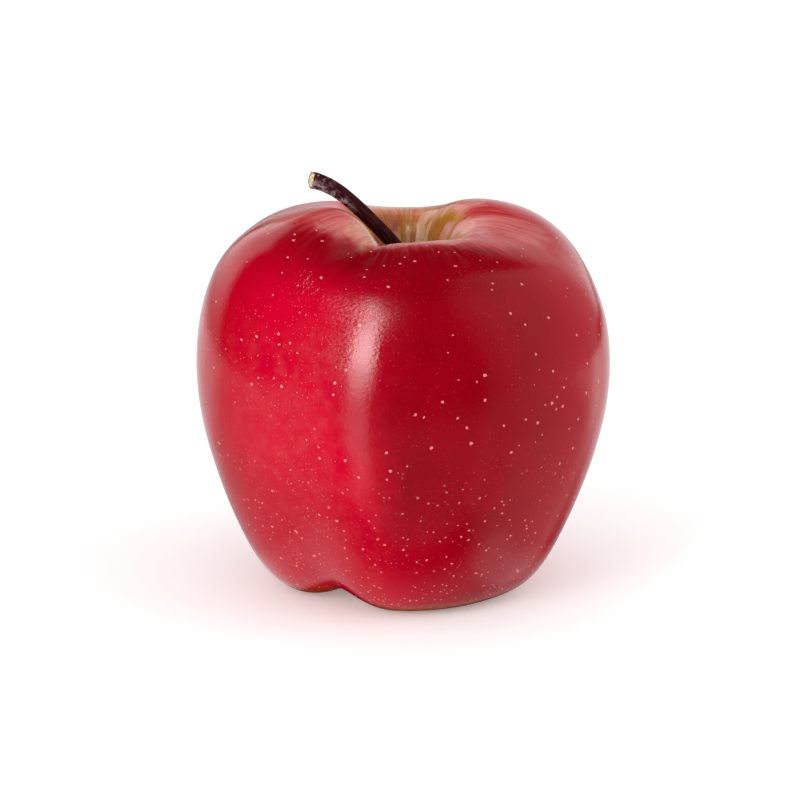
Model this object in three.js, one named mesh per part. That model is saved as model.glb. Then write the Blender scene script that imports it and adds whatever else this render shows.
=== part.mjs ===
// A red apple as picked: the fruit with its stem cavity and calyx basin, its stem, and its calyx.
// Millimetres, +Z up. It stands on its lobes at z = 0. Its front faces -Y, and every angle is in
// degrees round the core, from the front towards +X.

import * as THREE from 'three';
import { NURBSCurve } from 'three/addons/curves/NURBSCurve.js';

// Driving dimensions: the fruit.

const BODY_HEIGHT = 70; // feet to shoulders, before the lobes are raised
const CORE_OFFSET = [0.25, 1]; // the core from the middle of the outline, across and back
const STANDING_CUT = 0.45; // how much of the lobes is flat where it stands; heights are from above it

const SOCKET_RADIUS = 1.85; // the hole that the stem grows from
const SOCKET_FLOOR = 47;
const CAVITY_FLOOR = 52;
const SEAT_RADIUS = 3.4; // the shallow seat of the calyx
const SEAT_RIM = 11;
const SEAT_ROOF = 12.2;

// Half of the section through a lobe, as the control points of a cubic spline: radius and height,
// down the wall of the stem cavity, over the shoulder, and round the foot into the calyx basin.
const HALF_SECTION = [
  [SOCKET_RADIUS, CAVITY_FLOOR],
  [3.6, 52.4],
  [6, 58],
  [9.4, 71.6],
  [18.2, 70.7],
  [30.7, 67.3],
  [38.5, 56.8],
  [40.2, 41.7],
  [37.9, 27.2],
  [29.9, 6.5],
  [23.9, -0.4],
  [12.1, 0],
  [7, 8],
  [5.2, 10.6],
  [SEAT_RADIUS, SEAT_RIM],
];

// The grooves between the five lobes: how far each lifts the foot and draws in the waist,
// and how wide it is there.
const GROOVES = [
  { angle: -33.5, foot: 2.6, footWidth: 15, waist: 2.2, waistWidth: 19 },
  { angle: 48, foot: 0.2, footWidth: 18, waist: 0.85, waistWidth: 22 },
  { angle: 92, foot: 3, footWidth: 18, waist: 1.2, waistWidth: 22 },
  { angle: 180, foot: 3.2, footWidth: 19, waist: 1.8, waistWidth: 24 },
  { angle: -110.5, foot: 3.4, footWidth: 18, waist: 1.75, waistWidth: 24 },
];
const FRONT_RIDGE = { angle: -7, out: 0.5, width: 12 }; // the keel down the front lobe

// The five shoulders round the stem cavity: how far each stands above the dips between them.
const SHOULDERS = [
  { angle: 10.5, rise: 1.3, width: 30 },
  { angle: 51, rise: 0.95, width: 29.5 },
  { angle: 122.5, rise: 3.8, width: 31 },
  { angle: -121.5, rise: 2.9, width: 32 },
  { angle: -60, rise: 5.9, width: 32 },
];
const SHOULDER_DATUM = 3.2; // the rise at which the section above is true
const RIM_CREASE = { angle: -23, depth: 1.3, width: 10 }; // the fold across the cavity's front rim
const TILT = { across: -0.6, back: 1.1 }; // how much higher the right and the back stand

// The heights, as shares of the body's, and the radii over which those forms fade.
const FOOT_REACH = 0.37;
const INWARD_REACH = 1.6 * FOOT_REACH;
const SHOULDER_FROM = 0.7;
const WAIST_FADE = [0.78, 1.02];
const TILT_FROM = 0.2;
const FOOT_RADII = [2, 14];
const SHOULDER_RADII = [1.5, 11.5];
const SIDE_RADII = [4, 22];
const CREASE_IN = [3, 9];
const CREASE_OUT = [20, 33];
const TILT_RADII = [2, 12];
const GIRTH = 37; // the radius at which the tilt is measured
const FOOT_INWARD = 0.69; // inward for each millimetre that a groove lifts the foot
const SHOULDER_OUTWARD = 0.45; // outward for each millimetre that a shoulder rises

// Driving dimensions: the stem and the calyx.

const GAP = 0.3;
const STEM_RADIUS = 1.4;
const STEM_ROOT_RADIUS = SOCKET_RADIUS - GAP;
const STEM_ROOT_TAPER = [0.15, 0.45]; // the shares of its length over which it thins
const STEM_END_FLARE = 0.25; // the share by which the cut end is thicker
const STEM_END_TAPER = [0.86, 1];
const STEM_FLATNESS = 0.92;
const STEM_PATH = [
  [0, 0, SOCKET_FLOOR + GAP],
  [0, 0, 50],
  [0, 0, 54],
  [0.9, 0, 60.4],
  [-1.7, 0, 64.6],
  [-5.8, -0.4, 68.9],
  [-10.1, -0.8, 73.4],
  [-14.4, -1, 76.6],
  [-17.4, -1, 77.1],
];

// Half of the calyx's section: over the plug that fills the seat, out to a sepal's tip, and back.
const PLUG_RADIUS = SEAT_RADIUS - GAP;
const SEPAL_ROOT = 10.2;
const CALYX_SECTION = [
  [0, SEAT_ROOF - GAP],
  [PLUG_RADIUS, SEAT_ROOF - GAP],
  [PLUG_RADIUS, SEAT_RIM],
  [PLUG_RADIUS, SEPAL_ROOT],
  [3.4, 9],
  [4, 8],
  [5.2, 6.6],
  [4.4, 6.4],
  [3.2, 7.8],
  [2.6, 8.9],
  [2.2, 9.6],
  [0, 9.6],
];
const SEPALS = 5;
const SEPAL_BASE = 0.15; // the share of a sepal's length that is joined to the next

// Facets.

const FRUIT_SEGMENTS = 84;
const FRUIT_RINGS = 50;
const STEM_SIDES = 14;
const STEM_STEPS = 26;
const CALYX_SEGMENTS = 60;

const radians = THREE.MathUtils.degToRad;
const smooth = THREE.MathUtils.smoothstep;

// A clamped cubic spline through its first and last control points.
function spline(controls) {
  const spans = controls.length - 3;
  const knots = [0, 0, 0];
  for (let i = 0; i <= spans; i++) knots.push(i);
  knots.push(spans, spans, spans);
  return new NURBSCurve(3, knots, controls.map(([x, y, z = 0]) => new THREE.Vector4(x, y, z, 1)));
}

// A soft ridge round the core, one high at its own angle.
function bump(azimuth, angle, width) {
  const away = THREE.MathUtils.euclideanModulo(azimuth - radians(angle) + Math.PI, 2 * Math.PI);
  return Math.exp(-(((away - Math.PI) / radians(width)) ** 2));
}

// Turns a half section about Z, with its first point uppermost, so that its faces point out.
function turned(halfSection, segments) {
  const outline = halfSection.map(([radius, height]) => new THREE.Vector2(radius, height));
  return new THREE.LatheGeometry(outline.reverse(), segments).rotateX(Math.PI / 2);
}

// Moves every vertex of a turned body by a rule on its radius, azimuth and height.
function reshape(geometry, rule) {
  const position = geometry.getAttribute('position');
  for (let i = 0; i < position.count; i++) {
    const x = position.getX(i);
    const y = position.getY(i);
    position.setXYZ(i, ...rule(Math.hypot(x, y), Math.atan2(x, -y), position.getZ(i)));
  }
  geometry.computeVertexNormals();
  return geometry;
}

// Raises the lobes, grooves and shoulders on the turned fruit.
function growLobes(radius, azimuth, height) {
  const level = height / BODY_HEIGHT;
  const low = 1 - smooth(level, 0, FOOT_REACH);
  const lowInward = 1 - smooth(level, 0, INWARD_REACH);
  const high = smooth(level, SHOULDER_FROM, 1);
  const middle = (1 - lowInward) * (1 - smooth(level, ...WAIST_FADE));

  let foot = 0;
  let waist = -FRONT_RIDGE.out * bump(azimuth, FRONT_RIDGE.angle, FRONT_RIDGE.width);
  for (const groove of GROOVES) {
    foot += groove.foot * bump(azimuth, groove.angle, groove.footWidth);
    waist += groove.waist * bump(azimuth, groove.angle, groove.waistWidth);
  }
  let rise = -SHOULDER_DATUM;
  for (const shoulder of SHOULDERS) {
    rise += shoulder.rise * bump(azimuth, shoulder.angle, shoulder.width);
  }
  const creaseReach = smooth(radius, ...CREASE_IN) * (1 - smooth(radius, ...CREASE_OUT));
  const crease = RIM_CREASE.depth * bump(azimuth, RIM_CREASE.angle, RIM_CREASE.width) * creaseReach;

  const outward = rise * SHOULDER_OUTWARD * high - waist * middle - foot * FOOT_INWARD * lowInward;
  const girth = radius + outward * smooth(radius, ...SIDE_RADII);
  const x = girth * Math.sin(azimuth);
  const y = -girth * Math.cos(azimuth);
  const lift = foot * low * smooth(radius, ...FOOT_RADII);
  const shoulder = rise * smooth(radius, ...SHOULDER_RADII) - crease;
  const tilt = ((TILT.across * x + TILT.back * y) / GIRTH) * smooth(radius, ...TILT_RADII);
  const z = height + lift + shoulder * high + tilt * smooth(level, TILT_FROM, 1);
  return [x, y, Math.max(z, STANDING_CUT)];
}

function fruitGeometry() {
  const skin = spline(HALF_SECTION).getSpacedPoints(FRUIT_RINGS);
  const halfSection = [
    [0, SOCKET_FLOOR],
    [SOCKET_RADIUS, SOCKET_FLOOR],
    ...skin.map((point) => [point.x, point.y]),
    [SEAT_RADIUS, SEAT_ROOF],
    [0, SEAT_ROOF],
  ];
  return reshape(turned(halfSection, FRUIT_SEGMENTS), growLobes);
}

// The stem's radius along its length: thickest in its socket, and flared again at the cut end.
function stemRadius(share) {
  const root = (STEM_ROOT_RADIUS - STEM_RADIUS) * (1 - smooth(share, ...STEM_ROOT_TAPER));
  const flare = STEM_RADIUS * STEM_END_FLARE * smooth(share, ...STEM_END_TAPER);
  return STEM_RADIUS + root + flare;
}

// A straight rod one unit long, bent along the stem's path.
function stemGeometry() {
  const section = new THREE.Shape();
  section.absellipse(0, 0, 1, STEM_FLATNESS, 0, 2 * Math.PI);
  const rod = new THREE.ExtrudeGeometry(new THREE.Shape(section.getSpacedPoints(STEM_SIDES)), {
    depth: 1,
    steps: STEM_STEPS,
    bevelEnabled: false,
  });
  const path = spline(STEM_PATH);
  const position = rod.getAttribute('position');
  for (let i = 0; i < position.count; i++) {
    const share = THREE.MathUtils.clamp(position.getZ(i), 0, 1);
    const radius = stemRadius(share);
    const along = path.getTangentAt(share);
    const front = new THREE.Vector3(0, 1, 0).addScaledVector(along, -along.y).normalize();
    const side = new THREE.Vector3().crossVectors(front, along);
    const place = path
      .getPointAt(share)
      .addScaledVector(side, position.getX(i) * radius)
      .addScaledVector(front, position.getY(i) * radius);
    position.setXYZ(i, place.x, place.y, place.z);
  }
  rod.computeVertexNormals();
  return rod;
}

// A bell whose edge is drawn up between five points, on a plug that fills the seat.
function calyxGeometry() {
  const spread = Math.PI / SEPALS;
  const cutSepals = (radius, azimuth, height) => {
    const away = Math.abs(THREE.MathUtils.euclideanModulo(azimuth, 2 * spread) - spread) / spread;
    const drawnUp = (1 - SEPAL_BASE) * (1 - away);
    const pulled = radius - Math.max(radius - PLUG_RADIUS, 0) * drawnUp;
    const raised = height + Math.max(SEPAL_ROOT - height, 0) * drawnUp;
    return [pulled * Math.sin(azimuth), -pulled * Math.cos(azimuth), raised];
  };
  return reshape(turned(CALYX_SECTION, CALYX_SEGMENTS), cutSepals);
}

function part(name, geometry, material) {
  const mesh = new THREE.Mesh(geometry, new THREE.MeshStandardMaterial(material));
  mesh.name = name;
  return mesh;
}

const apple = new THREE.Group();
apple.position.set(...CORE_OFFSET, -STANDING_CUT);
apple.add(
  part('fruit', fruitGeometry(), { color: 0xa50b1f, roughness: 0.3, metalness: 0 }),
  part('stem', stemGeometry(), { color: 0x3a1a1c, roughness: 0.75, metalness: 0 }),
  part('calyx', calyxGeometry(), { color: 0x6b5a38, roughness: 0.9, metalness: 0 }),
);

export default apple;
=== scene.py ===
"""A red apple with its stem and its dried calyx. Metres, +Z up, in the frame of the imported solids."""

import math

import bpy
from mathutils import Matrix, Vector, noise


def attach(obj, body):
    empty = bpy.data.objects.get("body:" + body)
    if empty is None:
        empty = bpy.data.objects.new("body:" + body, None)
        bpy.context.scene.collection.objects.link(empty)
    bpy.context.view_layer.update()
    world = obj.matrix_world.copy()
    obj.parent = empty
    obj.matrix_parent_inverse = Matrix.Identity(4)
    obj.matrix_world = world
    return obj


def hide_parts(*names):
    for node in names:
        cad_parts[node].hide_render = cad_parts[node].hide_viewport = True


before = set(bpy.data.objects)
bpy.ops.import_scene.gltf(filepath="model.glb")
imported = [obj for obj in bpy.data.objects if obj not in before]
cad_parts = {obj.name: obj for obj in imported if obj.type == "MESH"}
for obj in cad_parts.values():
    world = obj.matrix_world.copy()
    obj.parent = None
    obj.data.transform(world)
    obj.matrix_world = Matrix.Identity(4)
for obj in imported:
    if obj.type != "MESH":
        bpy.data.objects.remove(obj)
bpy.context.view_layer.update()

MM = 0.001

# The apple's own places, which the solids share: its core, the height of its middle, the slice cut
# off below for it to stand on, the stem's socket and the calyx's seat. Two heights are past the
# socket's floor and the seat's roof, and tell those walls from the rest of the skin.
CORE = Vector((0.25, 1, 0)) * MM
MIDDLE_HEIGHT = 36 * MM
STANDING_CUT = 0.45 * MM
BELOW_SOCKET = 40 * MM
SOCKET_RADIUS = 1.85 * MM
SOCKET_TOP = 51.55 * MM
SEAT_RADIUS = 3.4 * MM
SEAT_RIM = 10.55 * MM
ABOVE_SEAT = 14 * MM
WALL_MARGIN = 1.1

# The stem's line in millimetres from the core, before the slice is cut off, and how thick it is
# there as a share of its usual radius.
STEM_RADIUS = 1.4 * MM
STEM_PATH = (
    (0, 0, 47.3, 1.08),
    (0, 0, 50, 1.08),
    (0, 0, 54, 1.05),
    (0.9, 0, 60.4, 1),
    (-1.7, 0, 64.6, 0.98),
    (-5.8, -0.4, 68.9, 0.98),
    (-10.1, -0.8, 73.4, 1),
    (-14.4, -1, 76.6, 1.06),
    (-17.4, -1, 77.1, 1.2),
)

# noise_vector takes its seed from the clock unless it is given one other than 0, and the torn end
# has to fray in the same way each time.
FRAY_SEED = 1

# The brow of the front keel, and the dip behind the left shoulder in degrees from the front.
BROW = CORE + Vector((-6, -26.3, 64)) * MM
BROW_REACH = 9 * MM
DIP_DEGREES = -93

STAMENS = 13
STAMEN_LENGTH = 2.4 * MM
STAMEN_MIDDLE = 7.6 * MM
GOLDEN_TURN = math.radians(137.5)

# The camera, and the pixel of its 800 x 800 frame on which the apple's middle falls.
FRAME_PIXELS = 800
AIM = CORE + Vector((0, 0, MIDDLE_HEIGHT - STANDING_CUT))
CAMERA_ELEVATION = math.radians(15.9)
CAMERA_DISTANCE = 0.65
FOCAL_PIXELS = 3472
MIDDLE_PIXEL = (404.8, 393.75)

# How far the upright panels stand from the apple, the gap between the panels that lie on the floor,
# and the radius round the core within which the apple's own shade keeps those dark.
PANEL_DISTANCE = 1.2
PANEL_GAP = 0.2 * MM
SHADE_RADIUS = 24 * MM


# ---------------------------------------------------------------- working by hand


def deselect_all():
    """Leaves edit mode, and leaves nothing selected."""
    if bpy.context.object and bpy.context.object.mode != "OBJECT":
        bpy.ops.object.mode_set(mode="OBJECT")
    bpy.ops.object.select_all(action="DESELECT")


def take_up(piece):
    """Makes one piece the only one selected, and the active one."""
    deselect_all()
    piece.select_set(True)
    bpy.context.view_layer.objects.active = piece


def edit_points(piece, wanted):
    """Enters edit mode with just the vertices selected for which wanted(place) is true."""
    take_up(piece)
    bpy.ops.object.mode_set(mode="EDIT")
    bpy.ops.mesh.select_mode(type="VERT")
    bpy.ops.mesh.select_all(action="DESELECT")
    bpy.ops.object.mode_set(mode="OBJECT")
    for vertex in piece.data.vertices:
        vertex.select = wanted(vertex.co)
    bpy.ops.object.mode_set(mode="EDIT")


def back_to_object():
    bpy.ops.object.mode_set(mode="OBJECT")


def apply_modifier(piece, kind, **settings):
    """Gives a piece one modifier and applies it."""
    take_up(piece)
    modifier = piece.modifiers.new(kind.title(), kind)
    for name, value in settings.items():
        setattr(modifier, name, value)
    bpy.ops.object.modifier_apply(modifier=modifier.name)


def subdivide(piece, levels):
    apply_modifier(piece, "SUBSURF", levels=levels, render_levels=levels)


def working_copy(node, name):
    """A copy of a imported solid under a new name, with its corners merged and its faces in quads."""
    piece = bpy.data.objects.new(name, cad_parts[node].data.copy())
    piece.data.name = name
    piece.data.materials.clear()
    bpy.context.scene.collection.objects.link(piece)
    take_up(piece)
    bpy.ops.object.mode_set(mode="EDIT")
    bpy.ops.mesh.select_all(action="SELECT")
    bpy.ops.mesh.remove_doubles(threshold=0.001 * MM)
    bpy.ops.mesh.tris_convert_to_quads(face_threshold=math.pi, shape_threshold=math.pi)
    back_to_object()
    return piece


def finish_piece(piece, node, slot, *materials):
    """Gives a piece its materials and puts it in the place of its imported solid."""
    for material in materials:
        piece.data.materials.append(material)
    take_up(piece)
    bpy.ops.object.shade_smooth()
    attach(piece, "root")
    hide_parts(node)


def fade(value, low, high):
    """0 at low, 1 at high and a smooth step between them. Either may be the larger."""
    share = min(max((value - low) / (high - low), 0.0), 1.0)
    return share * share * (3 - 2 * share)


# ---------------------------------------------------------------- the fruit


def close_round(fruit, inside, ring_height, neck, drop):
    """Takes out the faces of a socket and closes the skin over it, drawn in to a narrow neck."""
    edit_points(fruit, inside)
    bpy.ops.mesh.delete(type="VERT")
    bpy.ops.mesh.select_all(action="DESELECT")
    bpy.ops.mesh.select_non_manifold()
    centre = (CORE.x, CORE.y, ring_height)
    bpy.ops.mesh.extrude_region_move()
    bpy.ops.transform.resize(value=(neck, neck, 1), center_override=centre)
    bpy.ops.transform.translate(value=(0, 0, drop))
    bpy.ops.mesh.extrude_region_move()
    bpy.ops.mesh.merge(type="CENTER")
    back_to_object()


def from_core(place):
    """How far a place is from the core's axis, and in which level direction."""
    across = Vector((place.x - CORE.x, place.y - CORE.y, 0))
    return across.length, across.normalized()


def grow_skin(fruit):
    """Folds the wall of the stem cavity, fills the dip behind the left shoulder a little, squares
    the brow of the front keel and makes the whole skin faintly uneven."""
    fold_depth, swell_depth = 0.35 * MM, 0.14 * MM
    dip_fill, brow_rise = 0.65 * MM, 0.5 * MM
    folds_round, folds_down = 3.1, 25
    wide_swell, narrow_swell = 9 * MM, 3.5 * MM
    normals = [vertex.normal.copy() for vertex in fruit.data.vertices]
    for vertex, normal in zip(fruit.data.vertices, normals):
        height = vertex.co.z
        radius, around = from_core(vertex.co)
        in_cavity = fade(height, 50 * MM, 54 * MM) * fade(radius, 17 * MM, 9 * MM)
        on_wall = around * folds_round + Vector((0, 0, height * folds_down))
        folds = 0.5 + noise.fractal(on_wall, 1.0, 2.0, 2)
        swell = 0.5 + 0.35 * noise.noise(vertex.co / wide_swell)
        swell += 0.15 * noise.noise(vertex.co / narrow_swell)
        off_floor = fade(height, 0.05 * MM, 1.5 * MM)
        turn = math.degrees(math.atan2(around.x, -around.y))
        dip = fade(abs(turn - DIP_DEGREES), 28, 4) * fade(radius, 9 * MM, 15 * MM)
        dip *= fade(radius, 32 * MM, 22 * MM)
        dip *= fade(height, 58 * MM, 63 * MM)
        brow = fade((vertex.co - BROW).length, BROW_REACH, 0)
        vertex.co -= normal * (fold_depth * folds * in_cavity + swell_depth * swell * off_floor)
        vertex.co += normal * brow_rise * brow + Vector((0, 0, dip_fill * dip))


def in_socket(place):
    """Whether a place is on the wall or the floor of the stem's socket."""
    return BELOW_SOCKET < place.z < SOCKET_TOP - MM and from_core(place)[0] < SOCKET_RADIUS * WALL_MARGIN


def in_seat(place):
    """Whether a place is on the wall or the roof of the calyx's seat."""
    return SEAT_RIM + 0.6 * MM < place.z < ABOVE_SEAT and from_core(place)[0] < SEAT_RADIUS * WALL_MARGIN


def make_fruit():
    """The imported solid's skin, closed over the socket and the seat, then rounded and grown."""
    fruit = working_copy("fruit", "apple_fruit")
    close_round(fruit, in_socket, SOCKET_TOP, 0.6, -0.6 * MM)
    close_round(fruit, in_seat, SEAT_RIM, 0.5, 0.3 * MM)
    subdivide(fruit, 2)
    grow_skin(fruit)
    return fruit


# ---------------------------------------------------------------- the stem


def stem_section():
    """One turn round the stem: nearly round, with a few low ridges."""
    bpy.ops.curve.primitive_bezier_circle_add(radius=1)
    section = bpy.context.object
    section.data.splines.clear()
    outline = section.data.splines.new("POLY")
    sides = 36
    outline.points.add(sides - 1)
    for i, point in enumerate(outline.points):
        turn = 2 * math.pi * i / sides
        girth = 0.95 + 0.035 * math.cos(3 * turn + 0.6) + 0.03 * math.cos(7 * turn)
        point.co = (girth * math.cos(turn), girth * math.sin(turn), 0, 1)
    outline.use_cyclic_u = True
    return section


def stem_point(place):
    """A place on the stem's line, as the solids have it."""
    return CORE + Vector(place[:3]) * MM - Vector((0, 0, STANDING_CUT))


def tear_end(stem):
    """Turns the stem's free end a little forwards and hollows it, so that it looks torn off."""
    tip = stem_point(STEM_PATH[-1])
    outwards = (tip - stem_point(STEM_PATH[-2])).normalized()
    edit_points(stem, lambda p: True)
    bpy.ops.mesh.remove_doubles(threshold=0.01 * MM)
    edit_points(stem, lambda p: (p - tip).dot(outwards) > -0.03 * MM)
    bpy.ops.mesh.dissolve_faces()
    turn_forwards, shift = math.radians(-30), (0.45 * MM, 0, -0.1 * MM)
    bpy.ops.transform.rotate(value=turn_forwards, orient_axis="Z", center_override=tip)
    bpy.ops.transform.translate(value=shift)
    bpy.ops.mesh.select_mode(type="FACE")
    stem.active_material_index = 1
    # The rings of the torn face from its rim inwards: how wide each is, and how far it rises.
    rings = ((0.3, 0.03), (0.25, -0.25), (0.3, 0.15), (0.3, -0.2))
    for width, rise in rings:
        bpy.ops.mesh.inset(thickness=width * MM, depth=rise * MM)
        bpy.ops.object.material_slot_assign()
    bpy.ops.mesh.poke()
    back_to_object()
    fray, fray_size = 0.11 * MM, 0.8 * MM
    noise.seed_set(FRAY_SEED)
    for vertex in stem.data.vertices:
        reach = fade((vertex.co - tip).length, 2.6 * MM, 1.6 * MM)
        vertex.co += noise.noise_vector(vertex.co / fray_size) * fray * reach


def make_stem():
    """A ridged section drawn along the stem's line, thicker at its root and at its torn end."""
    section = stem_section()
    deselect_all()
    bpy.ops.curve.primitive_nurbs_path_add()
    stem = bpy.context.object
    stem.name = stem.data.name = "apple_stem"
    stem.data.splines.clear()
    path = stem.data.splines.new("NURBS")
    path.points.add(len(STEM_PATH) - 1)
    for point, place in zip(path.points, STEM_PATH):
        point.co = (*stem_point(place), 1)
        point.radius = place[3] * STEM_RADIUS
    path.order_u = 4
    path.use_endpoint_u = True
    path.resolution_u = 12
    stem.data.bevel_mode = "OBJECT"
    stem.data.bevel_object = section
    stem.data.use_fill_caps = True
    take_up(stem)
    bpy.ops.object.convert(target="MESH")
    bpy.data.objects.remove(section)
    stem.data.materials.append(bark_finish())
    stem.data.materials.append(torn_wood_finish())
    tear_end(stem)
    return stem


# ---------------------------------------------------------------- the calyx


def stamen(number):
    """One dry stamen, thicker at its free end, leaning away from the middle of the tuft."""
    turn = number * GOLDEN_TURN
    outwards = Vector((math.cos(turn), math.sin(turn), 0))
    spread = (0.3 + 0.14 * number) * MM
    place = CORE + outwards * spread + Vector((0, 0, STAMEN_MIDDLE))
    leaning = outwards * 0.4 - Vector((0, 0, 1))
    bpy.ops.mesh.primitive_cone_add(
        vertices=8, radius1=0.2 * MM, radius2=0.09 * MM, depth=STAMEN_LENGTH, location=place,
        rotation=leaning.to_track_quat("-Z", "Y").to_euler(),
    )
    return bpy.context.object


def make_calyx():
    """The dried sepals, wrinkled, with a cup in their middle that holds a tuft of stamens."""
    calyx = working_copy("calyx", "apple_calyx")
    subdivide(calyx, 2)
    cup_depth, wrinkle_depth, wrinkle_size = 1.6 * MM, 0.12 * MM, 0.9 * MM
    normals = [vertex.normal.copy() for vertex in calyx.data.vertices]
    for vertex, normal in zip(calyx.data.vertices, normals):
        radius = from_core(vertex.co)[0]
        cup = fade(radius, 2.7 * MM, 0.8 * MM) * fade(vertex.co.z, 9 * MM, 8 * MM)
        vertex.co.z += cup_depth * cup
        wrinkle = 0.5 + 0.5 * noise.noise(vertex.co / wrinkle_size)
        vertex.co -= normal * wrinkle_depth * wrinkle
    tuft = [stamen(i) for i in range(STAMENS)]
    take_up(calyx)
    for thread in tuft:
        thread.select_set(True)
    bpy.ops.object.join()
    return calyx


# ---------------------------------------------------------------- materials


class Nodes:
    """A node tree, with short calls that add nodes to it and give their outputs."""

    def __init__(self, owner):
        owner.use_nodes = True
        self.tree = owner.node_tree

    def set_inputs(self, node, inputs):
        for name, value in inputs.items():
            socket = node.inputs[name.replace("_", " ") if isinstance(name, str) else name]
            if isinstance(value, bpy.types.NodeSocket):
                self.tree.links.new(value, socket)
            else:
                socket.default_value = value

    def add(self, kind, settings=None, **inputs):
        node = self.tree.nodes.new("ShaderNode" + kind)
        for name, value in (settings or {}).items():
            setattr(node, name, value)
        self.set_inputs(node, inputs)
        return node

    def math(self, operation, *values):
        node = self.add("Math", {"operation": operation})
        self.set_inputs(node, dict(enumerate(values)))
        return node.outputs[0]

    def vector(self, operation, *values):
        node = self.add("VectorMath", {"operation": operation})
        self.set_inputs(node, dict(enumerate(values)))
        return node.outputs["Value" if operation in ("LENGTH", "DOT_PRODUCT") else "Vector"]

    def step(self, value, low, high, least=0.0, most=1.0):
        """A smooth step from least at low to most at high."""
        node = self.add("MapRange", {"interpolation_type": "SMOOTHSTEP"})
        turned = low > high
        edges = (high, low, most, least) if turned else (low, high, least, most)
        self.set_inputs(node, dict(enumerate((value, *edges))))
        return node.outputs[0]

    def noise(self, vector, scale, detail=2.0, roughness=0.5):
        node = self.add("TexNoise", Vector=vector, Scale=scale, Detail=detail, Roughness=roughness)
        return node.outputs["Fac"]

    def dots(self, vector, spacing, radius):
        """1 in small round spots strewn at random through space, about spacing apart."""
        node = self.add("TexVoronoi", Vector=vector, Scale=1 / spacing)
        size = self.math("MULTIPLY", radius / spacing, self.bright(node.outputs["Color"]))
        edge = self.math("SUBTRACT", size, node.outputs["Distance"])
        return self.step(edge, 0.0, 0.25 * radius / spacing)

    def shaken(self, vector, scale, amount):
        """Each place moved a little at random, so that what reads it has ragged edges."""
        node = self.add("TexNoise", Vector=vector, Scale=scale, Detail=1.0)
        middle = self.vector("SUBTRACT", node.outputs["Color"], (0.5, 0.5, 0.5))
        return self.vector("MULTIPLY_ADD", middle, (2 * amount,) * 3, vector)

    def bright(self, colour):
        """A random share from 0.55 to 1 for each spot."""
        node = self.add("SeparateColor", Color=colour)
        return self.math("MULTIPLY_ADD", node.outputs[0], 0.45, 0.55)

    def mix(self, share, first, second):
        node = self.add("Mix", {"data_type": "RGBA"})
        self.set_inputs(node, {0: share, 6: first, 7: second})
        return node.outputs[2]

    def product(self, first, *others):
        for other in others:
            first = self.math("MULTIPLY", first, other)
        return first

    def join(self, x, y, z):
        return self.add("CombineXYZ", X=x, Y=y, Z=z).outputs[0]


class Finish(Nodes):
    """The nodes of one material."""

    def __init__(self, name, **sockets):
        self.material = bpy.data.materials.new(name)
        super().__init__(self.material)
        self.shader = self.tree.nodes["Principled BSDF"]
        self.give(**sockets)

    def give(self, **sockets):
        """Sets or links sockets of the material's shader."""
        self.set_inputs(self.shader, sockets)

    def millimetres(self):
        """The place in millimetres from the foot of the core."""
        place = self.vector("SUBTRACT", self.add("TexCoord").outputs["Object"], tuple(CORE))
        return self.vector("MULTIPLY", place, (1 / MM,) * 3)

    def emboss(self, relief, strength, depth):
        """Gives the surface a fine relief, too shallow for the mesh."""
        bump = self.add("Bump", Strength=strength, Distance=depth, Height=relief)
        self.give(Normal=bump.outputs[0])


def rgb(red, green, blue):
    return (red, green, blue, 1.0)


# Side red is painted lighter than the deep red of the front, as light from the side lamps; bright red is
# partly the skin's own crimson and partly painted light from the key; base red is painted light from
# below.
DEEP_RED = rgb(0.225, 0.0, 0.005)
SIDE_RED = rgb(0.40, 0.0, 0.008)
BRIGHT_RED = rgb(0.54, 0.0, 0.022)
BASE_RED = rgb(0.45, 0.0, 0.016)
CLOUD_RED = rgb(0.40, 0.0, 0.012)
HALO_RED = rgb(0.18, 0.0, 0.003)
ROSE = rgb(0.50, 0.045, 0.050)
PALE_ROSE = rgb(0.68, 0.29, 0.26)
# Painted light on the back-left shoulder, standing in for a lamp behind at the left.
PAINTED_LIGHT_RED = rgb(0.80, 0.10, 0.10)
BEIGE = rgb(0.68, 0.34, 0.20)
CREAM = rgb(0.62, 0.36, 0.20)
OLIVE = rgb(0.42, 0.155, 0.004)
RUSSET = rgb(0.34, 0.06, 0.028)
SAGE = rgb(0.62, 0.37, 0.25)
LENTICEL = rgb(0.76, 0.21, 0.20)
SPECKLE = rgb(0.85, 0.20, 0.20)
GOLD = rgb(0.80, 0.46, 0.10)

# The tints of the shoulder and of the cavity's lip. Each has its azimuth and its full and faded half
# widths in degrees, the radii in millimetres where it starts and where it is full, and its strength.
LIP_TINTS = (
    # Painted light on the back-left shoulder.
    (PAINTED_LIGHT_RED, -108, 20, 45, 36.0, 28.0, 0.9),
    (PALE_ROSE, -72, 6, 15, 31.0, 24.0, 0.75),
    (BEIGE, 178, 28, 52, 17.5, 15.0, 0.85),
    (PALE_ROSE, 124, 6, 15, 17.5, 15.5, 0.80),
    (PALE_ROSE, 90, 5, 14, 28.0, 24.0, 0.45),
    (PALE_ROSE, -46, 5, 14, 23.0, 19.0, 0.40),
    # A painted highlight on the right inner lip.
    (PALE_ROSE, 82, 11, 20, 17.5, 12.5, 1.0),
    (PALE_ROSE, 52, 20, 42, 16.4, 14.4, 0.45),
    (PALE_ROSE, 8, 20, 48, 16.8, 15.2, 0.45),
    (SAGE, -33, 4, 14, 20.0, 13.5, 0.85),
)

# The stripes of the cavity's wall: azimuth, full and faded half widths in degrees, and strength.
WALL_STRIPES = (
    (RUSSET, 182, 8, 20, 0.95),
    (BEIGE, 156, 4, 14, 0.9),
    (CREAM, 129, 4, 10, 0.9),
    # A painted highlight on the ledge of the right wall.
    (PALE_ROSE, 91, 5, 14, 0.9),
    (SAGE, -33, 10, 30, 0.9),
)


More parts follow.
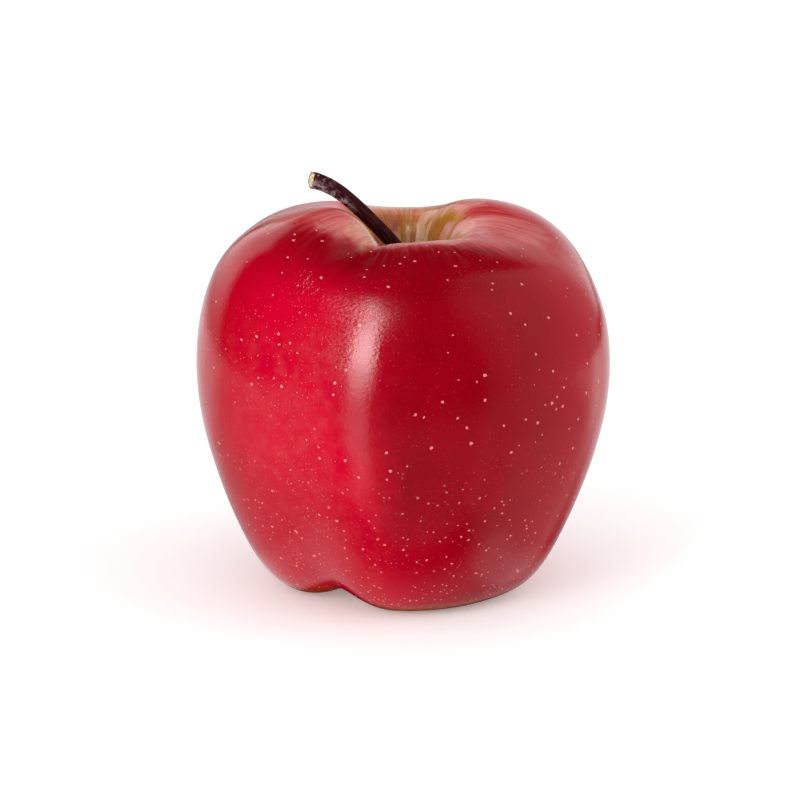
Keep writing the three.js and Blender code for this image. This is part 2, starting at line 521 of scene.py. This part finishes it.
class Skin(Finish):
    """Waxy skin: crimson on one side and deep red on the other, with painted light and shade in its
    reds, streaked, speckled and dotted.

    Places are in millimetres. The azimuth counts from the front, positive towards +X, and the polar
    angle is the one seen from the apple's middle, from straight up to straight down, in radians."""

    def __init__(self, name):
        super().__init__(name, Specular_IOR_Level=0.5)
        self.place = self.millimetres()
        parts = self.add("SeparateXYZ", Vector=self.place)
        self.x, self.y, self.height = parts.outputs[0], parts.outputs[1], parts.outputs[2]
        level = self.join(self.x, self.y, 0.0)
        self.radius = self.vector("LENGTH", level)
        self.around = self.vector("NORMALIZE", level)
        self.azimuth = self.math("ARCTAN2", self.x, self.math("MULTIPLY", self.y, -1.0))
        self.polar = self.math(
            "ARCTAN2", self.radius, self.math("SUBTRACT", self.height, MIDDLE_HEIGHT / MM),
        )
        self.upper = self.step(self.height, 45.0, 55.0)
        self.clouds = self.noise(self.place, 0.07, 3.0, 0.5)
        self.patches = self.noise(self.place, 0.35, 3.0, 0.6)

        # Streaks run from the stem to the calyx. Those of the cavity's mouth are broken up by a flow.
        along = self.add("SeparateXYZ", Vector=self.around)
        meridian = self.join(along.outputs[0], along.outputs[1], self.math("MULTIPLY", self.polar, 0.22))
        self.streaks = self.noise(meridian, 14.0, 4.0, 0.6)
        self.fine_streaks = self.noise(self.shaken(meridian, 5.0, 0.04), 24.0, 4.0, 0.55)
        drawn_out = self.join(self.x, self.y, self.math("MULTIPLY", self.height, 0.4))
        self.flow = self.noise(self.shaken(drawn_out, 0.3, 1.5), 0.45, 2.5)
        self.brushed = self.step(self.flow, 0.30, 0.65, 0.55, 1.0)
        self.ragged = self.math("ADD", self.radius, self.math("MULTIPLY_ADD", self.flow, 5.0, -2.5))
        self.wall = self.product(self.step(self.ragged, 13.2, 10.2), self.upper)

    def towards(self, degrees, inner, outer, direction=None):
        """1 within so many degrees of a direction, seen from above, and 0 beyond the outer angle."""
        turn = math.radians(degrees)
        middle = (math.sin(turn), -math.cos(turn), 0.0)
        facing = self.vector("DOT_PRODUCT", direction or self.around, middle)
        return self.step(facing, math.cos(math.radians(outer)), math.cos(math.radians(inner)))

    def ground(self):
        """Deep red in front, painted lighter at the sides and the base as light from the side lamps and
        from below, crimson beside the front keel that is partly painted key light, and a faint painted
        sheen.
        """
        edge = self.math("ADD", self.azimuth, self.math("MULTIPLY_ADD", self.streaks, 0.16, -0.08))
        # Painted light: the sides lighter than the deep red front.
        self.side = self.step(self.math("ABSOLUTE", edge), 0.5, 1.45)
        colour = self.mix(self.side, DEEP_RED, SIDE_RED)
        softness = self.step(self.height, 26.0, 46.0, 0.26, 0.58)
        start = self.step(self.height, 26.0, 46.0, 0.03, 0.08)
        leftwards = self.math("DIVIDE", self.math("SUBTRACT", start, edge), softness)
        # Crimson where the key light falls: partly the skin's own colour and partly painted light, less
        # of it lower down.
        self.crimson = self.product(
            self.step(leftwards, 0.0, 1.0), self.step(edge, -1.3, -0.66),
            self.step(self.polar, 0.62, 1.0), self.step(self.height, 12.0, 36.0, 0.58, 1.0),
        )
        colour = self.mix(self.crimson, colour, BRIGHT_RED)
        # Painted light from below: the base lighter, most on the left.
        left_base = self.step(self.azimuth, 0.45, -0.2, 0.25, 1.0)
        base = self.product(self.step(self.height, 28.0, 3.0), left_base)
        colour = self.mix(base, colour, BASE_RED)
        colour = self.mix(self.product(self.step(self.clouds, 0.35, 0.7), 0.22), colour, CLOUD_RED)
        # Painted sheen: a faint pale haze beside the key's highlight.
        painted_sheen = self.product(
            self.crimson, self.step(self.patches, 0.35, 0.75), self.step(self.polar, 1.0, 1.2), 0.05,
        )
        return self.mix(painted_sheen, colour, PALE_ROSE)

    def shoulders(self, colour):
        """Rose over the shoulders, in streaks that reach lower at the sides than over the front lip."""
        outwards = self.step(self.math("ABSOLUTE", self.azimuth), 0.35, 1.4)
        reach = self.math("MULTIPLY_ADD", outwards, 0.17, 0.50)
        ragged = self.step(self.side, 0.0, 1.0, 0.08, 0.30)
        stray = self.product(self.math("SUBTRACT", self.streaks, 0.5), ragged)
        above = self.math("SUBTRACT", self.math("ADD", reach, stray), self.polar)
        rose = self.product(
            self.step(above, -0.05, 0.08), self.step(self.fine_streaks, 0.30, 0.65, 0.55, 1.0),
        )
        colour = self.mix(rose, colour, ROSE)
        hair = self.product(
            self.step(above, -0.18, 0.1), self.step(self.fine_streaks, 0.5, 0.75), self.side, 0.14,
        )
        return self.mix(hair, colour, PALE_ROSE)

    def lip(self, colour):
        """Tints of rose, beige and sage on the shoulder and the lip, combed along the streaks, with
        painted light on the back-left shoulder and a painted highlight on the right inner lip.
        """
        combed = self.step(self.fine_streaks, 0.30, 0.65, 0.5, 1.0)
        for tint, centre, inner, outer, first, last, share in LIP_TINTS:
            ring = self.step(self.ragged, first, last)
            mask = self.product(self.towards(centre, inner, outer), ring, share)
            colour = self.mix(self.product(mask, combed, self.upper), colour, tint)
        return colour

    def cavity(self, colour):
        """The stem cavity's wall: olive with gold specks, and stripes that turn on their way down, one
        of them a painted highlight.
        """
        twist = self.step(self.radius, 11.8, 8.0, 0.0, math.radians(-24))
        bent = self.shaken(self.around, 4.0, 0.10)
        turned = self.add("VectorRotate", {"rotation_type": "Z_AXIS"}, Vector=bent, Angle=twist)
        inside = self.mix(self.product(self.step(self.patches, 0.4, 0.65), 0.4), OLIVE, RUSSET)
        for tint, centre, inner, outer, share in WALL_STRIPES:
            stripe = self.towards(centre, inner, outer, turned.outputs[0])
            inside = self.mix(self.product(stripe, self.brushed, share), inside, tint)
        specks = self.product(self.dots(self.place, 0.75, 0.17), 0.55)
        inside = self.mix(specks, inside, GOLD)
        return self.mix(self.wall, colour, inside)

    def underside(self, colour):
        """The basin round the calyx is olive, and the feet are tinged with it."""
        inner = self.step(self.radius, 25.0, 17.0)
        basin = self.product(self.step(self.height, 18.0, 14.0), inner, 0.85)
        foot = self.product(self.step(self.height, 3.4, 0.8), 0.55)
        return self.mix(self.product(self.math("MAXIMUM", basin, foot), self.brushed), colour, OLIVE)

    def dotted(self, colour):
        """Pale dots: few and large above, many and small below, and a fine speckle on the crimson."""
        wobble = self.shaken(self.place, 2.2, 0.22)
        high = self.product(self.step(self.height, 20.0, 33.0), self.step(self.polar, 0.32, 0.5))
        low = self.step(self.height, 36.0, 18.0)
        lowest = self.step(self.height, 18.0, 4.0)
        large = self.product(self.dots(wobble, 2.4, 0.36), high)
        small = self.product(self.dots(wobble, 1.5, 0.30), low)
        tiny = self.product(self.dots(self.place, 1.1, 0.21), lowest)
        halo = self.product(self.dots(wobble, 2.4, 0.8), high, 0.2)
        colour = self.mix(halo, colour, HALO_RED)
        speckle = self.product(
            self.dots(self.place, 0.72, 0.15), self.step(self.clouds, 0.35, 0.55),
            self.math("MULTIPLY_ADD", self.crimson, 0.4, 0.10),
        )
        colour = self.mix(speckle, colour, SPECKLE)
        spots = self.math("MAXIMUM", large, self.math("MAXIMUM", small, tiny))
        return self.mix(self.product(spots, 0.9), colour, LENTICEL)

    def gloss(self):
        """Wax, dulled by bloom in streaks on the shoulders and as fine dust beside the front keel."""
        shoulder = self.product(
            self.step(self.polar, 0.85, 0.55), self.step(self.fine_streaks, 0.35, 0.7),
        )
        ridge = self.product(
            self.towards(-12, 4, 18), self.step(self.polar, 0.80, 0.90),
            self.step(self.polar, 1.2, 0.95), 0.6,
        )
        flank = self.product(
            self.towards(-22, 4, 16), self.step(self.polar, 0.95, 1.08),
            self.step(self.polar, 1.4, 1.2), self.patches,
        )
        motes = self.step(self.noise(self.place, 2.4), 0.2, 0.65)
        dust = self.product(motes, self.math("MAXIMUM", flank, ridge))
        rough = self.math("MULTIPLY_ADD", shoulder, 0.22, 0.065)
        rough = self.math("MULTIPLY_ADD", dust, 0.32, rough)
        return self.math("MULTIPLY_ADD", self.wall, 0.12, rough)

    def relief(self):
        """Fine grain, and furrows along the streaks that end where the cavity's wall begins."""
        grain = self.noise(self.place, 1.5, 2.0, 0.5)
        depth = self.math("SUBTRACT", 0.2, self.product(self.wall, 0.2))
        return self.math("MULTIPLY_ADD", grain, 0.5, self.product(self.fine_streaks, depth))


def skin_finish():
    skin = Skin("apple_skin")
    colour = skin.ground()
    for layer in (skin.shoulders, skin.lip, skin.cavity, skin.underside, skin.dotted):
        colour = layer(colour)
    skin.give(Base_Color=colour, Roughness=skin.gloss())
    skin.emboss(skin.relief(), 0.25, 0.25 * MM)
    return skin.material


def bark_finish():
    """Dark maroon bark with fine ridges, and grey bloom under the upper third of the stem."""
    bark = Finish("stem_bark", Specular_IOR_Level=0.08)
    place = bark.millimetres()
    lean = (-0.62, 0.0, 0.78)
    length = bark.vector("DOT_PRODUCT", place, lean)
    axes = bark.add("SeparateXYZ", Vector=place).outputs
    drawn_out = bark.join(*(
        bark.math("MULTIPLY_ADD", length, -0.85 * part, axis) for part, axis in zip(lean, axes)
    ))
    ridges = bark.noise(drawn_out, 2.4, 4.0, 0.6)
    grain = bark.noise(place, 2.2, 5.0, 0.7)
    patches = bark.noise(place, 0.9, 4.0, 0.65)
    dark, light = rgb(0.016, 0.001, 0.003), rgb(0.070, 0.005, 0.009)
    colour = bark.mix(bark.step(ridges, 0.35, 0.68), dark, light)
    downwards = (-0.6, -0.5, -0.6)
    below = bark.vector("DOT_PRODUCT", bark.add("NewGeometry").outputs["Normal"], downwards)
    bloom = bark.product(
        bark.step(length, 60.0, 64.0), bark.step(below, 0.1, 0.6), bark.step(patches, 0.42, 0.56), 0.62,
    )
    dusty = bark.product(bark.step(length, 66.0, 70.0), bark.step(patches, 0.5, 0.62), 0.3)
    bloom = bark.math("MAXIMUM", bloom, dusty)
    colour = bark.mix(bloom, colour, rgb(0.42, 0.34, 0.34))
    bark.give(Base_Color=colour, Roughness=bark.math("MULTIPLY_ADD", bloom, 0.3, 0.5))
    bark.emboss(bark.math("MULTIPLY_ADD", grain, 0.5, ridges), 0.6, 0.15 * MM)
    return bark.material


def torn_wood_finish():
    """The pale fibres inside the stem's torn end."""
    wood = Finish("stem_torn_wood", Roughness=0.8, Specular_IOR_Level=0.2)
    fibres = wood.noise(wood.add("TexCoord").outputs["Object"], 2.5 / MM, 3.0, 0.6)
    dark, light = rgb(0.52, 0.36, 0.15), rgb(0.86, 0.76, 0.52)
    wood.give(Base_Color=wood.mix(wood.step(fibres, 0.35, 0.65), dark, light))
    return wood.material


def calyx_finish():
    """Dry brown husk with a leathery relief."""
    husk = Finish("calyx_husk", Roughness=0.9, Specular_IOR_Level=0.2)
    place = husk.add("TexCoord").outputs["Object"]
    grain = husk.noise(place, 1.2 / MM, 4.0, 0.6)
    dark, light = rgb(0.09, 0.055, 0.025), rgb(0.26, 0.19, 0.10)
    husk.give(Base_Color=husk.mix(husk.step(grain, 0.3, 0.7), dark, light))
    husk.emboss(husk.noise(place, 3 / MM, 3.0, 0.6), 0.7, 0.2 * MM)
    return husk.material


# ---------------------------------------------------------------- studio


def panel(name, width, height, radiance, gives, left=0, right=0, bottom=0, top=0, shade=0):
    """A lamp with a flat face of that size and brightness, which gives the surfaces their light or
    their sheen and isn't seen itself. It fades in over a share of its width or height from each
    edge that is named, and is dark within the radius of the shade round the core."""
    lamp = bpy.data.lights.new(name, "AREA")
    lamp.shape = "RECTANGLE"
    lamp.size = width
    lamp.size_y = height
    lamp.energy = radiance * math.pi * width * height
    glow = Nodes(lamp)
    face = glow.add("SeparateXYZ", Vector=glow.add("NewGeometry").outputs["Parametric"])
    across, up = face.outputs[0], face.outputs[1]
    shares = [
        glow.step(value, edge, edge + share * inwards)
        for value, edge, inwards, share in (
            (across, 0, 1, left), (across, 1, -1, right), (up, 0, 1, bottom), (up, 1, -1, top),
        )
        if share
    ]
    if shade:
        away = glow.vector("SUBTRACT", glow.add("NewGeometry").outputs["Position"], tuple(CORE))
        shares.append(glow.step(glow.vector("LENGTH", away), 0.94 * shade, 1.06 * shade))
    if shares:
        emission = glow.tree.nodes["Emission"]
        glow.set_inputs(emission, {"Strength": glow.product(*shares)})
    stand = bpy.data.objects.new(name, lamp)
    bpy.context.scene.collection.objects.link(stand)
    stand.visible_camera = False
    stand.visible_diffuse = gives == "light"
    stand.visible_glossy = gives == "sheen"
    return stand


def sideways(azimuth):
    """The level direction at that many degrees from the front, positive towards +X."""
    return Vector((math.sin(math.radians(azimuth)), -math.cos(math.radians(azimuth)), 0))


def upright(name, azimuths, heights, radiance, gives, **edges):
    """An upright panel that faces the apple: its left and right edges, then its lower and upper
    edges, in degrees seen from the apple. The floor doesn't hide what is below it from the sheen."""
    wide = 2 * PANEL_DISTANCE * math.tan(math.radians((azimuths[1] - azimuths[0]) / 2))
    low, high = (PANEL_DISTANCE * math.tan(math.radians(edge)) for edge in heights)
    stand = panel(name, wide, high - low, radiance, gives, **edges)
    away = sideways(sum(azimuths) / 2)
    stand.location = AIM + away * PANEL_DISTANCE + Vector((0, 0, (low + high) / 2))
    stand.rotation_euler = away.to_track_quat("Z", "Y").to_euler()


def lying(name, layer, azimuth, reach, width, radiance, **edges):
    """A panel for the sheen that lies face up in its own layer just above the floor, between two
    distances from the core, in metres, and stays dark in the apple's shade."""
    near, far = reach
    stand = panel(name, width, far - near, radiance, "sheen", shade=SHADE_RADIUS, **edges)
    lift = Vector((0, 0, PANEL_GAP * layer))
    stand.location = CORE + sideways(azimuth) * (near + far) / 2 + lift
    stand.rotation_euler = (math.pi, 0, math.radians(azimuth))


def make_floor():
    """White paper, faintly lit from below, which gives no sheen of its own: panels stand in for it."""
    deselect_all()
    bpy.ops.mesh.primitive_plane_add(size=8)
    floor = bpy.context.object
    floor.name = "studio_floor"
    paper = Finish("studio_paper", Roughness=0.9, Specular_IOR_Level=0.1)
    paper.give(Base_Color=rgb(0.93, 0.93, 0.93), Emission_Color=rgb(1, 1, 1), Emission_Strength=0.2)
    floor.data.materials.append(paper.material)
    floor.visible_glossy = False


def make_air():
    """Even white light from all round, without sheen."""
    world = bpy.data.worlds.new("studio_air")
    bpy.context.scene.world = world
    world.use_nodes = True
    air = world.node_tree.nodes["Background"]
    air.inputs["Color"].default_value = rgb(1, 1, 1)
    air.inputs["Strength"].default_value = 0.82
    world.cycles_visibility.glossy = False


def make_lights():
    upright("key_light", (-53, -27), (-2, 40), 4.4, "light")
    upright("right_light", (53, 103), (-2, 55), 1.25, "light")


def make_sheens():
    """Panels seen only as sheen: the key, the room behind and at the right, and the floor."""
    upright(
        "key_sheen", (-50.5, -20), (-14, 80), 9.8, "sheen",
        left=0.2, right=0.5, bottom=0.13, top=0.83,
    )
    upright(
        "key_floor_sheen", (-58, -26), (-55, 3), 1.15, "sheen",
        left=0.4, right=0.4, bottom=0.9,
    )
    upright(
        "back_left_sheen", (-166, -108), (-18, 60), 1.15, "sheen",
        left=0.1, right=0.3, bottom=0.3, top=0.3,
    )
    upright(
        "back_right_sheen", (142, 196), (-3, 38), 0.95, "sheen",
        left=0.3, right=0.5, top=0.8,
    )
    upright(
        "right_sheen", (40, 154), (-8, 78), 0.36, "sheen",
        left=0.5, right=0.15, bottom=0.036, top=1.0,
    )
    upright(
        "front_floor_sheen", (-62, 62), (-62, -4), 0.14, "sheen",
        left=0.2, right=0.2, top=0.3,
    )
    upright(
        "right_floor_sheen", (40, 142), (-62, 2), 0.36, "sheen",
        left=0.5, right=0.2, bottom=0.2, top=0.092,
    )
    lying(
        "under_sheen", 1, 180, (-0.038, 0.038), 0.076, 0.35,
        left=0.15, right=0.15, bottom=0.15, top=0.15,
    )
    lying(
        "left_floor_sheen", 2, -152, (-0.03, 0.4), 0.8, 0.42,
        left=0.2, right=0.2, bottom=0.08, top=0.3,
    )
    lying(
        "back_floor_sheen", 3, 180, (0.015, 1.5), 0.8, 0.4,
        left=0.3, right=0.3, bottom=0.04,
    )


def make_camera():
    """The camera looks at the apple's middle, and a small shift puts that on its pixel."""
    camera = bpy.data.cameras.new("camera")
    stand = bpy.data.objects.new("camera", camera)
    bpy.context.scene.collection.objects.link(stand)
    back = Vector((0, -math.cos(CAMERA_ELEVATION), math.sin(CAMERA_ELEVATION)))
    stand.location = AIM + back * CAMERA_DISTANCE
    stand.rotation_euler = (-back).to_track_quat("-Z", "Y").to_euler()
    camera.sensor_width = 36
    camera.lens = FOCAL_PIXELS / FRAME_PIXELS * camera.sensor_width
    camera.shift_x = (FRAME_PIXELS / 2 - MIDDLE_PIXEL[0]) / FRAME_PIXELS
    camera.shift_y = (MIDDLE_PIXEL[1] - FRAME_PIXELS / 2) / FRAME_PIXELS
    camera.clip_start = 0.01
    bpy.context.scene.camera = stand


finish_piece(make_fruit(), "fruit", "skin", skin_finish())
finish_piece(make_stem(), "stem", "stem")
finish_piece(make_calyx(), "calyx", "calyx", calyx_finish())
make_floor()
make_air()
make_lights()
make_sheens()
make_camera()
bpy.context.scene.view_settings.view_transform = "Standard"
